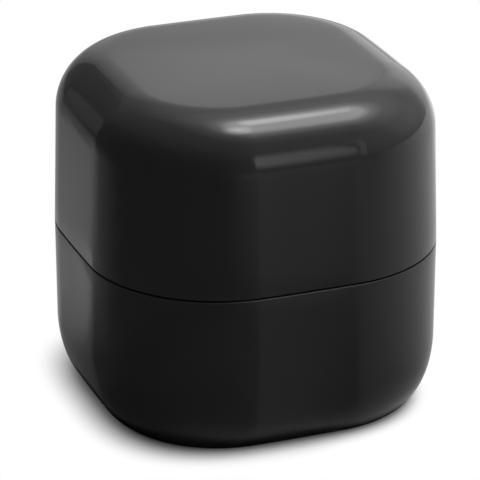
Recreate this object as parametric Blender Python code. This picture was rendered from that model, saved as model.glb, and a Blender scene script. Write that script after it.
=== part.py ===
"""Lip balm cube: two glossy moulded shells, a screw closure and a dome of balm.

The part stands on its flat foot. The origin is the middle of the foot's plane,
+Z is up and the front looks along -Y. The cap unscrews about +Z.
"""

import math
from collections import namedtuple

import bmesh
import bpy
from mathutils import Matrix, Vector

MM = 0.001

# Outer form, one rounded square for the cap and the base
WIDTH = 37.0 * MM
CORNER_RADIUS = 13.6 * MM
FACE_BOW_RADIUS = 260.0 * MM
BASE_HEIGHT = 17.6 * MM
CAP_HEIGHT = 18.5 * MM
SEAM_GAP = 0.16 * MM
RIM_ROUND = 0.12 * MM

# Cap shell
CAP_DRAFT = math.radians(1.7)
CAP_EDGE_RADIUS = 6.0 * MM
CAP_CROWN = 0.35 * MM
CAP_WALL = 1.7 * MM
CAP_ROOF = 1.7 * MM

# Base shell
BASE_DRAFT = math.radians(0.2)
BASE_EDGE_ACROSS = 3.6 * MM
BASE_EDGE_UP = 7.2 * MM
BASE_WALL = 1.7 * MM
FLOOR_WALL = 1.8 * MM
FOOT_WIDTH = 2.5 * MM
FOOT_RECESS = 0.4 * MM

# The rebate in both rims that takes the plates of the collar and the liner
LIP_WALL = 0.9 * MM
PLATE = 1.5 * MM
PLATE_RECESS = 0.6 * MM

# Stiffening ribs and the ring that holds the foot of the collar
RIBS = 8
RIB = 1.1 * MM
RIB_DROP = 1.2 * MM
SOCKET_WALL = 1.1 * MM
SOCKET_HEIGHT = 3.0 * MM
GUSSET_RISE = 2.6 * MM

# Screw closure, from the shell's wall inwards
LINER_ROOM = 1.2 * MM
LINER_WALL = 1.1 * MM
THREAD_ROOM = 1.3 * MM
NECK_WALL = 1.4 * MM
NECK_RISE = 6.6 * MM
MOUTH_CHAMFER = 0.4 * MM

# Seal between the neck and the liner
SEAL_THICKNESS = 0.8 * MM
SEAL_OVERHANG = 0.6 * MM

# Cup under the neck, with its filling hole and plug
CUP_WALL = 1.4 * MM
WEB = 1.2 * MM
WEB_WIDTH = 2.9 * MM
PLUG_FLANGE = 1.0 * MM
PLUG_OVERLAP = 1.5 * MM
PLUG_SKIN = 1.1 * MM

# Arched support that the balm is cast round
SUPPORT_DEPTH = 8.0 * MM
SUPPORT_LEDGE = 0.9 * MM
SUPPORT_SKIN = 1.2 * MM
SUPPORT_BAR = 1.3 * MM
SUPPORT_RIM = 1.5 * MM
SUPPORT_ARCH = 5.0 * MM
HUB_RADIUS = 2.4 * MM
SPOKES = 6

# Balm
LINER_TOP_ROOM = 0.6 * MM
BALM_ROOM = 0.8 * MM

# Gap between pieces that touch or fit
FIT_GAP = 0.3 * MM

# Facets
SIDE_STEPS = 2
CORNER_STEPS = 10
FILLET_STEPS = 6
RIM_STEPS = 2
DOME_STEPS = 6
BALM_DOME_STEPS = 9
ROUND_STEPS = 48
WINDOW_STEPS = 4
CROWN_SHARES = (1 / 3, 2 / 3)
SMOOTH_ANGLE = math.radians(28)
WELD = 0.0001 * MM

# Levels above the foot
CAP_RIM = BASE_HEIGHT + SEAM_GAP
TOP = CAP_RIM + CAP_HEIGHT
COLLAR_PLATE_TOP = BASE_HEIGHT - PLATE_RECESS
COLLAR_PLATE_BOTTOM = COLLAR_PLATE_TOP - PLATE
BASE_LEDGE = COLLAR_PLATE_BOTTOM - FIT_GAP
LINER_PLATE_BOTTOM = CAP_RIM + PLATE_RECESS
LINER_PLATE_TOP = LINER_PLATE_BOTTOM + PLATE
CAP_LEDGE = LINER_PLATE_TOP + FIT_GAP
NECK_TOP = BASE_HEIGHT + NECK_RISE
SEAL_BOTTOM = NECK_TOP + FIT_GAP
SEAL_TOP = SEAL_BOTTOM + SEAL_THICKNESS
SHOULDER_UNDER = SEAL_TOP + FIT_GAP
SHOULDER_TOP = SHOULDER_UNDER + LINER_WALL
CAVITY_TOP = TOP - CAP_ROOF - LINER_TOP_ROOM - LINER_WALL
BALM_TOP = CAVITY_TOP - BALM_ROOM
FLOOR_TOP = FOOT_RECESS + FLOOR_WALL
CUP_BOTTOM = FLOOR_TOP + FIT_GAP
WEB_UNDER = CUP_BOTTOM + PLUG_FLANGE + FIT_GAP
WEB_TOP = WEB_UNDER + WEB
BALM_BOTTOM = WEB_TOP + FIT_GAP
SUPPORT_SEAT = NECK_TOP - SUPPORT_DEPTH
SUPPORT_BOTTOM = SUPPORT_SEAT + FIT_GAP

# Radii of the round pieces
SKIRT_OUTER = WIDTH / 2 - CAP_WALL - LINER_ROOM
SKIRT_INNER = SKIRT_OUTER - LINER_WALL
NECK_OUTER = SKIRT_INNER - THREAD_ROOM
NECK_INNER = NECK_OUTER - NECK_WALL
BALM_RADIUS = NECK_INNER - FIT_GAP
SEAL_INNER = NECK_INNER + FIT_GAP
SEAL_OUTER = NECK_OUTER + SEAL_OVERHANG
CUP_INNER = NECK_INNER - SUPPORT_LEDGE
CUP_OUTER = CUP_INNER + CUP_WALL
FILL_RADIUS = CUP_INNER - WEB_WIDTH
SOCKET_INNER = CUP_OUTER + FIT_GAP
SOCKET_OUTER = SOCKET_INNER + SOCKET_WALL

# The ball that the balm's dome is cut from
DOME_RISE = BALM_TOP - NECK_TOP
DOME_RADIUS = (BALM_RADIUS**2 + DOME_RISE**2) / (2 * DOME_RISE)
DOME_CENTRE = BALM_TOP - DOME_RADIUS

Shell = namedtuple("Shell", "height draft across up crown")
CAP = Shell(CAP_HEIGHT, CAP_DRAFT, CAP_EDGE_RADIUS, CAP_EDGE_RADIUS, CAP_CROWN)
BASE = Shell(BASE_HEIGHT, BASE_DRAFT, BASE_EDGE_ACROSS, BASE_EDGE_UP, 0)


def outline(inset):
    """Rounded square at an inset, as (x, y): four bowed sides joined by corner arcs."""
    half = WIDTH / 2 - inset
    bow = FACE_BOW_RADIUS - inset
    corner = CORNER_RADIUS - inset
    tangent = math.acos((bow - half) / (bow - corner) / math.sqrt(2)) - math.radians(45)
    offset = (bow - corner) * math.sin(tangent)
    points = []
    for quarter in range(4):
        turn = Matrix.Rotation(math.radians(90) * quarter, 2)
        for step in range(2 * SIDE_STEPS):
            angle = tangent * (step / SIDE_STEPS - 1)
            side = Vector((half - bow, 0))
            points.append(turn @ (side + bow * Vector((math.cos(angle), math.sin(angle)))))
        for step in range(CORNER_STEPS):
            angle = tangent + (math.radians(90) - 2 * tangent) * step / CORNER_STEPS
            centre = Vector((offset, offset))
            points.append(turn @ (centre + corner * Vector((math.cos(angle), math.sin(angle)))))
    return points


def corner_reach(inset):
    """Distance from the axis to the outline along a diagonal."""
    return max(point.length for point in outline(inset))


def square_ring(inset, z):
    return [Vector((x, y, z)) for x, y in outline(inset)]


def scaled_ring(inset, share, z):
    return [Vector((x * share, y * share, z)) for x, y in outline(inset)]


def round_ring(radius, z):
    """Circle whose points lie at the same bearings as the outline's."""
    return [(radius * point.normalized()).to_3d() + Vector((0, 0, z)) for point in outline(0)]


def pole(z):
    return [Vector((0, 0, z))]


def flank(shell, side_depth, top_depth):
    """(inset, rise) up a shell's side, at a depth under its outer surface.

    The wall leans in by the draft, then turns over a quarter ellipse that ends
    with the slope of the crowned roof.
    """
    across = shell.across - side_depth
    up = shell.up - top_depth
    crown_slope = 2 * shell.crown / (WIDTH / 2 - shell.across)
    start = math.atan(math.tan(shell.draft) * up / across)
    end = math.atan2(up, across * crown_slope)
    centre_rise = shell.height - shell.crown - top_depth - up * math.sin(end)
    turn_rise = centre_rise + up * math.sin(start)
    centre_inset = side_depth + math.tan(shell.draft) * turn_rise + across * math.cos(start)
    points = []
    for step in range(FILLET_STEPS + 1):
        angle = start + (end - start) * step / FILLET_STEPS
        points.append((centre_inset - across * math.cos(angle), centre_rise + up * math.sin(angle)))
    return points


def rim_round():
    """(inset, rise) round the outer edge of a rim."""
    points = []
    for step in range(RIM_STEPS + 1):
        angle = math.radians(90) * step / RIM_STEPS
        points.append((RIM_ROUND * (1 - math.sin(angle)), RIM_ROUND * (1 - math.cos(angle))))
    return points


def crown_rings(inset, top):
    """Pole and rings of the crowned roof whose middle is at top, from the middle outwards."""
    rings = [scaled_ring(inset, share, top - CAP_CROWN * share**2) for share in CROWN_SHARES]
    return [pole(top)] + rings


def dome(radius, low, steps):
    """(radius, z) up a dome about the balm's centre, without its pole."""
    start = math.asin((low - DOME_CENTRE) / radius)
    points = []
    for step in range(steps):
        angle = start + (math.radians(90) - start) * step / steps
        points.append((radius * math.cos(angle), DOME_CENTRE + radius * math.sin(angle)))
    return points


def mesh_object(name, bm):
    """Object from a closed bmesh, its faces turned outwards."""
    bmesh.ops.recalc_face_normals(bm, faces=bm.faces)
    mesh = bpy.data.meshes.new(name)
    bm.to_mesh(mesh)
    bm.free()
    piece = bpy.data.objects.new(name, mesh)
    bpy.context.collection.objects.link(piece)
    return piece


def loft(name, rings, looped=False):
    """Skin over rings of equal count. A one-point ring is a pole, an open end is filled flat."""
    bm = bmesh.new()
    loops = [[bm.verts.new(point) for point in ring] for ring in rings]
    pairs = list(zip(loops, loops[1:]))
    if looped:
        pairs.append((loops[-1], loops[0]))
    for low, high in pairs:
        count = max(len(low), len(high))
        for i in range(count):
            j = (i + 1) % count
            if len(low) == 1:
                bm.faces.new((low[0], high[j], high[i]))
            elif len(high) == 1:
                bm.faces.new((low[i], low[j], high[0]))
            else:
                bm.faces.new((low[i], low[j], high[j], high[i]))
    if not looped:
        for end in (loops[0], loops[-1]):
            if len(end) > 1:
                bm.faces.new(end)
    return mesh_object(name, bm)


def revolve(name, profile):
    """Solid of revolution from a closed (radius, z) profile, spun about the axis."""
    bm = bmesh.new()
    verts = [bm.verts.new((radius, 0, z)) for radius, z in profile]
    edges = [bm.edges.new(pair) for pair in zip(verts, verts[1:] + verts[:1])
             if pair[0].co.x > 0 or pair[1].co.x > 0]
    bmesh.ops.spin(bm, geom=verts + edges, cent=(0, 0, 0), axis=(0, 0, 1),
                   angle=math.radians(360), steps=ROUND_STEPS, use_merge=True)
    bmesh.ops.remove_doubles(bm, verts=bm.verts, dist=WELD)
    return mesh_object(name, bm)


def blade(name, section, bearing):
    """Flat rib: a (radius, z) section, RIB thick, turned to a bearing about the axis."""
    bm = bmesh.new()
    near = [bm.verts.new((radius, -RIB / 2, z)) for radius, z in section]
    face = bm.faces.new(near)
    made = bmesh.ops.extrude_face_region(bm, geom=[face], use_keep_orig=True)
    moved = [item for item in made["geom"] if isinstance(item, bmesh.types.BMVert)]
    bmesh.ops.translate(bm, verts=moved, vec=(0, RIB, 0))
    bmesh.ops.rotate(bm, verts=bm.verts, cent=(0, 0, 0), matrix=Matrix.Rotation(bearing, 3, "Z"))
    return mesh_object(name, bm)


def combine(body, tool, operation):
    """Union or difference of two solids, kept in the body. The tool is removed."""
    modifier = body.modifiers.new(operation.lower(), "BOOLEAN")
    modifier.operation = operation
    modifier.solver = "EXACT"
    modifier.object = tool
    depsgraph = bpy.context.evaluated_depsgraph_get()
    result = bpy.data.meshes.new_from_object(body.evaluated_get(depsgraph))
    body.modifiers.clear()
    body.data = result
    bpy.data.objects.remove(tool)


def cap_shell():
    """Outer cap: crowned roof, big rolled edge, drafted walls, rebated rim, eight ribs."""
    outer = flank(CAP, 0, 0)
    inner = flank(CAP, CAP_WALL, CAP_ROOF)
    ledge_rise = CAP_LEDGE - CAP_RIM
    lean = math.tan(CAP_DRAFT)
    rings = crown_rings(outer[-1][0], TOP)
    rings += [square_ring(inset, CAP_RIM + rise) for inset, rise in reversed(outer)]
    rings += [square_ring(inset, CAP_RIM + rise) for inset, rise in reversed(rim_round())]
    rings.append(square_ring(LIP_WALL, CAP_RIM))
    rings.append(square_ring(LIP_WALL, CAP_LEDGE))
    rings.append(square_ring(CAP_WALL + lean * ledge_rise, CAP_LEDGE))
    rings += [square_ring(inset, CAP_RIM + rise) for inset, rise in inner]
    rings += reversed(crown_rings(inner[-1][0], TOP - CAP_ROOF))
    shell = loft("cap_shell", rings)

    buried = flank(CAP, CAP_WALL / 2, CAP_ROOF / 2)[0]
    low = CAP_LEDGE + RIB_DROP
    for index in range(RIBS):
        reach = corner_reach(0) if index % 2 else WIDTH / 2
        near = SKIRT_OUTER + FIT_GAP
        section = [
            (near, low),
            (reach - CAP_WALL / 2 - lean * (low - CAP_RIM), low),
            (reach - buried[0], CAP_RIM + buried[1]),
            (near, CAP_RIM + buried[1]),
        ]
        combine(shell, blade("rib", section, 2 * math.pi * index / RIBS), "UNION")
    return shell


def base_shell():
    """Outer base: rolled foot with a recessed middle, rebated rim, socket ring, gussets."""
    outer = flank(BASE, 0, 0)
    inner = flank(BASE, BASE_WALL, FLOOR_TOP)
    foot_inset = outer[-1][0] + FOOT_WIDTH
    ledge_inset = BASE_WALL + math.tan(BASE_DRAFT) * (BASE_HEIGHT - BASE_LEDGE)
    rings = [square_ring(foot_inset, FOOT_RECESS), square_ring(foot_inset, 0)]
    rings += [square_ring(inset, BASE_HEIGHT - rise) for inset, rise in reversed(outer)]
    rings += [square_ring(inset, BASE_HEIGHT - rise) for inset, rise in reversed(rim_round())]
    rings.append(square_ring(LIP_WALL, BASE_HEIGHT))
    rings.append(square_ring(LIP_WALL, BASE_LEDGE))
    rings.append(square_ring(ledge_inset, BASE_LEDGE))
    rings += [square_ring(inset, BASE_HEIGHT - rise) for inset, rise in inner]
    shell = loft("base_shell", rings)

    buried_floor = FLOOR_TOP - FLOOR_WALL / 2
    socket_top = FLOOR_TOP + SOCKET_HEIGHT
    socket = revolve("socket", [
        (SOCKET_INNER, buried_floor), (SOCKET_OUTER, buried_floor),
        (SOCKET_OUTER, socket_top), (SOCKET_INNER, socket_top)])
    combine(shell, socket, "UNION")

    buried = flank(BASE, BASE_WALL / 2, buried_floor)
    near = SOCKET_OUTER - SOCKET_WALL / 2
    wall_top = socket_top + GUSSET_RISE
    for index in range(RIBS):
        reach = corner_reach(0) if index % 2 else WIDTH / 2
        curve = [(reach - inset, BASE_HEIGHT - rise) for inset, rise in reversed(buried)]
        below = [point for point in curve if point[1] < wall_top]
        wall = reach - BASE_WALL / 2 - math.tan(BASE_DRAFT) * (BASE_HEIGHT - wall_top)
        section = [(near, buried_floor)] + below + [(wall, wall_top), (near, socket_top - RIB_DROP)]
        combine(shell, blade("gusset", section, 2 * math.pi * index / RIBS), "UNION")
    return shell


def cap_liner():
    """Inner cap: square plate, round skirt for the thread, shoulder and dome."""
    plate_inset = LIP_WALL + FIT_GAP
    seat_radius = SEAL_OUTER + FIT_GAP
    cavity = DOME_RADIUS + BALM_ROOM
    rings = [pole(CAVITY_TOP + LINER_WALL)]
    rings += [round_ring(*point) for point in reversed(dome(cavity + LINER_WALL, SHOULDER_TOP, DOME_STEPS))]
    rings.append(round_ring(SKIRT_OUTER - MOUTH_CHAMFER, SHOULDER_TOP))
    rings.append(round_ring(SKIRT_OUTER, SHOULDER_TOP - MOUTH_CHAMFER))
    rings.append(round_ring(SKIRT_OUTER, LINER_PLATE_TOP))
    rings.append(square_ring(plate_inset, LINER_PLATE_TOP))
    rings.append(square_ring(plate_inset, LINER_PLATE_BOTTOM))
    rings.append(round_ring(SKIRT_INNER + MOUTH_CHAMFER, LINER_PLATE_BOTTOM))
    rings.append(round_ring(SKIRT_INNER, LINER_PLATE_BOTTOM + MOUTH_CHAMFER))
    rings.append(round_ring(SKIRT_INNER, SEAL_BOTTOM))
    rings.append(round_ring(seat_radius, SEAL_BOTTOM))
    rings.append(round_ring(seat_radius, SHOULDER_UNDER))
    rings += [round_ring(*point) for point in dome(cavity, SHOULDER_UNDER, DOME_STEPS)]
    rings.append(pole(CAVITY_TOP))
    return loft("cap_liner", rings)


def cap_seal_ring():
    """Flat soft ring that closes on the rim of the neck."""
    return revolve("cap_seal_ring", [
        (SEAL_INNER, SEAL_BOTTOM), (SEAL_OUTER, SEAL_BOTTOM),
        (SEAL_OUTER, SEAL_TOP), (SEAL_INNER, SEAL_TOP)])


def threaded_collar():
    """Neck, square plate and cup in one moulding, open at the filling hole."""
    plate_inset = LIP_WALL + FIT_GAP
    rings = [
        round_ring(NECK_OUTER - MOUTH_CHAMFER, NECK_TOP),
        round_ring(NECK_OUTER, NECK_TOP - MOUTH_CHAMFER),
        round_ring(NECK_OUTER, COLLAR_PLATE_TOP),
        square_ring(plate_inset, COLLAR_PLATE_TOP),
        square_ring(plate_inset, COLLAR_PLATE_BOTTOM),
        round_ring(CUP_OUTER, COLLAR_PLATE_BOTTOM),
        round_ring(CUP_OUTER, CUP_BOTTOM + MOUTH_CHAMFER),
        round_ring(CUP_OUTER - MOUTH_CHAMFER, CUP_BOTTOM),
        round_ring(CUP_INNER, CUP_BOTTOM),
        round_ring(CUP_INNER, WEB_UNDER),
        round_ring(FILL_RADIUS, WEB_UNDER),
        round_ring(FILL_RADIUS, WEB_TOP),
        round_ring(CUP_INNER, WEB_TOP),
        round_ring(CUP_INNER, SUPPORT_SEAT),
        round_ring(NECK_INNER, SUPPORT_SEAT),
        round_ring(NECK_INNER, NECK_TOP),
    ]
    return loft("threaded_collar", rings, looped=True)


def filling_plug():
    """Flanged plug that closes the filling hole from below, hollow underneath."""
    spigot = FILL_RADIUS - FIT_GAP
    flange = FILL_RADIUS + PLUG_OVERLAP
    flange_top = CUP_BOTTOM + PLUG_FLANGE
    hollow_top = WEB_TOP - PLUG_SKIN
    return revolve("filling_plug", [
        (0, hollow_top), (spigot - PLUG_SKIN, hollow_top), (spigot - PLUG_SKIN, CUP_BOTTOM),
        (flange, CUP_BOTTOM), (flange, flange_top), (spigot, flange_top),
        (spigot, WEB_TOP), (0, WEB_TOP)])


def support_grid(name, grow):
    """Arched spider: hub, ring and rim joined by spokes, each surface grown outwards.

    The top follows a parabola over the rim. Each ring holds, for every spoke, its two
    edges and the steps across the window to the next spoke.
    """
    hub = HUB_RADIUS + grow
    rim_inner = CUP_INNER - SUPPORT_RIM
    middle = (HUB_RADIUS + rim_inner) / 2
    ring_low = middle - SUPPORT_BAR / 2 - grow
    ring_high = middle + SUPPORT_BAR / 2 + grow
    radii = [hub, (hub + ring_low) / 2, ring_low, ring_high,
             (ring_high + rim_inner - grow) / 2, rim_inner - grow, BALM_RADIUS + grow]
    open_bands = (0, 1, 3, 4)
    count = SPOKES * (WINDOW_STEPS + 1)

    def height(radius):
        return SUPPORT_BOTTOM + SUPPORT_SKIN + SUPPORT_ARCH * max(0, 1 - (radius / rim_inner)**2)

    def bearings(radius):
        half_bar = math.asin((SUPPORT_BAR / 2 + grow) / radius)
        pitch = 2 * math.pi / SPOKES
        angles = []
        for spoke in range(SPOKES):
            angles.append(spoke * pitch - half_bar)
            window = pitch - 2 * half_bar
            for step in range(WINDOW_STEPS):
                angles.append(spoke * pitch + half_bar + window * step / WINDOW_STEPS)
        return angles

    bm = bmesh.new()
    skins = []
    for drop in (-grow, SUPPORT_SKIN + grow):
        skin = []
        for radius in radii:
            z = height(radius) - drop
            skin.append([bm.verts.new((radius * math.cos(a), radius * math.sin(a), z))
                         for a in bearings(radius)])
        skins.append((skin, bm.verts.new((0, 0, height(0) - drop))))
    (top, top_pole), (low, low_pole) = skins

    def is_solid(band, cell):
        if band == len(radii) - 1:
            return False
        return band not in open_bands or cell % (WINDOW_STEPS + 1) == 0

    for cell in range(count):
        after = (cell + 1) % count
        bm.faces.new((top_pole, top[0][cell], top[0][after]))
        bm.faces.new((low_pole, low[0][after], low[0][cell]))
        for band in range(-1, len(radii) - 1):
            here = band < 0 or is_solid(band, cell)
            beyond = is_solid(band + 1, cell)
            if here != beyond:
                k = band + 1
                bm.faces.new((top[k][cell], top[k][after], low[k][after], low[k][cell]))
            if band < 0 or not here:
                continue
            bm.faces.new((top[band][cell], top[band + 1][cell], top[band + 1][after], top[band][after]))
            bm.faces.new((low[band][cell], low[band][after], low[band + 1][after], low[band + 1][cell]))
            for edge, other in ((cell, cell - 1), (after, after)):
                if not is_solid(band, other % count):
                    bm.faces.new((top[band][edge], top[band + 1][edge],
                                  low[band + 1][edge], low[band][edge]))
    return mesh_object(name, bm)


def balm():
    """Balm as cast: fills the cup, closes round the support and ends in a dome."""
    step_level = SUPPORT_BOTTOM + SUPPORT_SKIN / 2
    lower = CUP_INNER - FIT_GAP
    profile = [(0, BALM_BOTTOM), (lower, BALM_BOTTOM), (lower, step_level), (BALM_RADIUS, step_level)]
    profile += dome(DOME_RADIUS, NECK_TOP, BALM_DOME_STEPS)
    profile.append((0, BALM_TOP))
    solid = revolve("balm", profile)
    combine(solid, support_grid("support_room", FIT_GAP), "DIFFERENCE")
    return solid


def finish(piece, colour, roughness):
    """Own material and smooth shading for one piece."""
    material = bpy.data.materials.new(piece.name)
    material.use_nodes = True
    shader = material.node_tree.nodes["Principled BSDF"]
    shader.inputs["Base Color"].default_value = (*colour, 1)
    shader.inputs["Roughness"].default_value = roughness
    shader.inputs["Metallic"].default_value = 0
    piece.data.materials.clear()
    piece.data.materials.append(material)
    piece.data.shade_smooth()
    piece.data.set_sharp_from_angle(angle=SMOOTH_ANGLE)


def hang_on(pieces, name, level):
    """Empty on the twist axis that carries the pieces which turn or lift together."""
    empty = bpy.data.objects.new(name, None)
    empty.location = (0, 0, level)
    bpy.context.collection.objects.link(empty)
    for piece in pieces:
        piece.data.transform(Matrix.Translation((0, 0, -level)))
        piece.parent = empty


def build():
    for item in list(bpy.data.objects):
        bpy.data.objects.remove(item)

    gloss_black = (0.012, 0.012, 0.013)
    satin_black = (0.02, 0.02, 0.021)
    natural_white = (0.78, 0.77, 0.73)

    shell = cap_shell()
    finish(shell, gloss_black, 0.16)
    liner = cap_liner()
    finish(liner, satin_black, 0.35)
    seal = cap_seal_ring()
    finish(seal, (0.85, 0.85, 0.83), 0.8)
    hang_on([shell, liner], "cap_twist_axis", CAP_RIM)
    hang_on([seal], "cap_lift_axis", SEAL_BOTTOM)

    finish(base_shell(), gloss_black, 0.16)
    finish(threaded_collar(), satin_black, 0.35)
    finish(support_grid("balm_support", 0), natural_white, 0.5)
    finish(balm(), (0.86, 0.78, 0.58), 0.45)
    finish(filling_plug(), natural_white, 0.5)


build()
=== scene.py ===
"""Fine surfaces, finishes, studio and camera for the lip balm cube.

Every piece is worked out in the frame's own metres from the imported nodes' boxes and
the named sizes below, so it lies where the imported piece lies.
"""

import math

import bmesh
import bpy
import numpy as np
from mathutils import Matrix, Vector


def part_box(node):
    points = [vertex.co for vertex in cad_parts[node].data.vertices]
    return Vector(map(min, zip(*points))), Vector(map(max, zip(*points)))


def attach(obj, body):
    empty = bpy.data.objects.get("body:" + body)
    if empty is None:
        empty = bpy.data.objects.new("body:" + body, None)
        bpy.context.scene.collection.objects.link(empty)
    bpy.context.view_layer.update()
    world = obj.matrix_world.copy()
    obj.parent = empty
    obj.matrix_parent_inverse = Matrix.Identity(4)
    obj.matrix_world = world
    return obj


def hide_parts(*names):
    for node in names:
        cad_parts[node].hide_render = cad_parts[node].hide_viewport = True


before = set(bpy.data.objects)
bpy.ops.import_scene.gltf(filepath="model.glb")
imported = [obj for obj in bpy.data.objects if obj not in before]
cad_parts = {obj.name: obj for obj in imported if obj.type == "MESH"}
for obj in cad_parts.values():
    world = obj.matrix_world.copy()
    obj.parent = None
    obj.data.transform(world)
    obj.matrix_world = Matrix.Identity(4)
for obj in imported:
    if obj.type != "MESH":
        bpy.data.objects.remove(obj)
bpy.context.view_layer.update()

MM = 0.001
QUARTER_TURN = math.radians(90)

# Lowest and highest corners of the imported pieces
CAP_LOW, CAP_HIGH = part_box("cap_shell")
BASE_LOW, BASE_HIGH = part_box("base_shell")
LINER_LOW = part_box("cap_liner")[0]
COLLAR_LOW, COLLAR_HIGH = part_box("threaded_collar")
SEAL_LOW, SEAL_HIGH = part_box("cap_seal_ring")
BALM_LOW, BALM_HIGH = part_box("balm")

# Outer form, one rounded square for the cap and the base, with a faint edge where each
# face meets its corners
WIDTH = BASE_HIGH.x - BASE_LOW.x
CORNER_RADIUS = 13.75 * MM
FACE_BOW_RADIUS = 260.0 * MM
FACE_EDGE_TURN = math.radians(3)
FACE_EDGE_RADIUS = 8.0 * MM
RIM_ROUND = 0.12 * MM

# Cap shell
CAP_DRAFT = math.radians(1.7)
CAP_EDGE_RADIUS = 6.0 * MM
CAP_CROWN = 0.35 * MM
CAP_WALL = 1.7 * MM
CAP_ROOF = 1.7 * MM

# Base shell
BASE_DRAFT = math.radians(0.2)
BASE_EDGE_ACROSS = 3.6 * MM
BASE_EDGE_UP = 7.2 * MM
BASE_WALL = 1.7 * MM
FLOOR_WALL = 1.8 * MM
FOOT_WIDTH = 2.5 * MM
FOOT_RECESS = 0.4 * MM

# Rebate in both rims, with the plates of the collar and the liner
LIP_WALL = 0.9 * MM
PLATE = 1.5 * MM

# Ribs of the cap, socket ring and gussets of the base
RIBS = 8
RIB = 1.1 * MM
RIB_DROP = 1.2 * MM
SOCKET_WALL = 1.1 * MM
SOCKET_HEIGHT = 3.0 * MM
GUSSET_RISE = 2.6 * MM

# Screw closure, from the shell's wall inwards
LINER_ROOM = 1.2 * MM
LINER_WALL = 1.1 * MM
THREAD_ROOM = 1.3 * MM
NECK_WALL = 1.4 * MM
CUP_WALL = 1.4 * MM
WEB = 1.2 * MM
WEB_WIDTH = 2.9 * MM
PLUG_FLANGE = 1.0 * MM
SUPPORT_DEPTH = 8.0 * MM
SUPPORT_LEDGE = 0.9 * MM
SUPPORT_SKIN = 1.2 * MM
BALM_ROOM = 0.8 * MM
FIT_GAP = 0.3 * MM

# Screw thread: two starts, one turn climbs the lead
STARTS = 2
LEAD = 9.0 * MM
THREAD_HEIGHT = 0.9 * MM
THREAD_ROOT = 1.7 * MM
THREAD_CREST = 0.7 * MM
THREAD_BURIED = 0.3 * MM
THREAD_EDGE_ROOM = 0.5 * MM
THREAD_RUN_OUT = math.radians(16)
THREAD_END_SHARE = 0.2

# Rounds on moulded edges
EDGE = 0.2 * MM
MOUTH_EDGE = 0.45 * MM
BALM_EDGE = 0.5 * MM

# Steps of the fine surfaces
SIDE_STEPS = 20
EDGE_STEPS = 2
CORNER_STEPS = 44
FILLET_STEPS = 30
INNER_FILLET_STEPS = 10
WALL_STEPS = 6
RIM_STEPS = 5
CROWN_STEPS = 12
DOME_STEPS = 28
ROUND_STEPS = 4
THREAD_STEPS = 120
THREAD_WIDTH_STEPS = 15
SMOOTH_ANGLE = math.radians(40)

# Finishes: the two colours and the two roughnesses between which each one drifts, one
# swell of each pattern, and the depths of the bumps
GLOSS_BLACKS = (0.0102, 0.0102, 0.0105), (0.0122, 0.0122, 0.0126)
GLOSS_ROUGHNESS = (0.045, 0.075)
GLOSS_DRIFT = 9.0 * MM
ORANGE_PEEL = 1.6 * MM
ORANGE_PEEL_DEPTH = 0.004 * MM
SATIN_BLACKS = (0.013, 0.013, 0.014), (0.018, 0.018, 0.019)
SATIN_ROUGHNESS = (0.34, 0.46)
SATIN_DRIFT = 6.0 * MM
SPARK_GRAIN = 0.22 * MM
SPARK_GRAIN_DEPTH = 0.012 * MM
MOULDING_IOR = 1.5
WAX_CREAMS = (0.86, 0.76, 0.55), (0.92, 0.84, 0.66)
WAX_ROUGHNESS = (0.32, 0.52)
WAX_CLOUD = 5.0 * MM
WAX_BLOOM = 0.5 * MM
WAX_DEPTH = 0.02 * MM
WAX_IOR = 1.44
WAX_GLOW_SHARE = 0.35
WAX_GLOW_REACH = 1.5 * MM
FOAM_WHITES = (0.74, 0.74, 0.72), (0.88, 0.88, 0.86)
FOAM_ROUGHNESS = (0.75, 0.95)
FOAM_CELL = 0.18 * MM
FOAM_CELL_DEPTH = 0.03 * MM
MILKY_WHITES = (0.72, 0.71, 0.67), (0.80, 0.79, 0.75)
MILKY_ROUGHNESS = (0.42, 0.52)
MILKY_DRIFT = 3.0 * MM
MILKY_DEPTH = 0.01 * MM

# Camera, from the photograph's view: bearing about the vertical, height above the horizon
CAMERA_AZIMUTH = math.radians(-20.97)
CAMERA_ELEVATION = math.radians(23.13)
CAMERA_DISTANCE = 319.4 * MM
CAMERA_LENS = 230.0
CAMERA_SENSOR = 36.0
NEAREST_SHARE = 0.05
FARTHEST_SHARE = 50
AIM_RIGHT = -0.42 * MM
AIM_UP = -1.58 * MM

# Light tent: for each light its bearing from +X, its rise, the angles of full and of no
# light about that direction, all in degrees, and its level
TENT_RADIUS = 1.2
TENT_CENTRE = 0.03
TENT_STEPS = 32
TENT_SHADE = 0.077
TENT_LIGHTS = {
    "side": (0, -26, 58, 120, 0.28),
    "top": (20, 64, 0, 96, 0.395),
    "halo": (3, 68.5, 0, 42.5, 0.8),
    "right": (-4.5, 26.5, 0, 28, 0.25),
    "right_back": (48.5, 26, 0, 13.5, 0.27),
    "back": (50, -3, 17, 27, 0.39),
    "backdrop": (61, 19, 16, 32.5, 0.21),
    "backdrop_top": (68.5, 25, 0, 9, 0.28),
    "left_back": (75, 63.5, 0, 29, 0.3),
    "left_low": (118.5, 5, 3.5, 8.5, 0.11),
}

# Softbox in the tent's top, its panel and its lights in the same terms
SOFTBOX_BEARING = 0
SOFTBOX_RISE = 72
SOFTBOX_DISTANCE = 0.9
SOFTBOX_REACH = 28
SOFTBOX_LIGHTS = {
    "body": (-7, 71.5, 9.5, 19, 2.65),
    "rim": (-7, 70.5, 7, 27.5, 1.8),
    "bulb": (14, 72, 0, 7.5, 3.3),
    "left_bulb": (-48, 77, 0, 11, 2.9),
    "left_tip": (-50, 78.4, 0, 5, 1.3),
}

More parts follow.
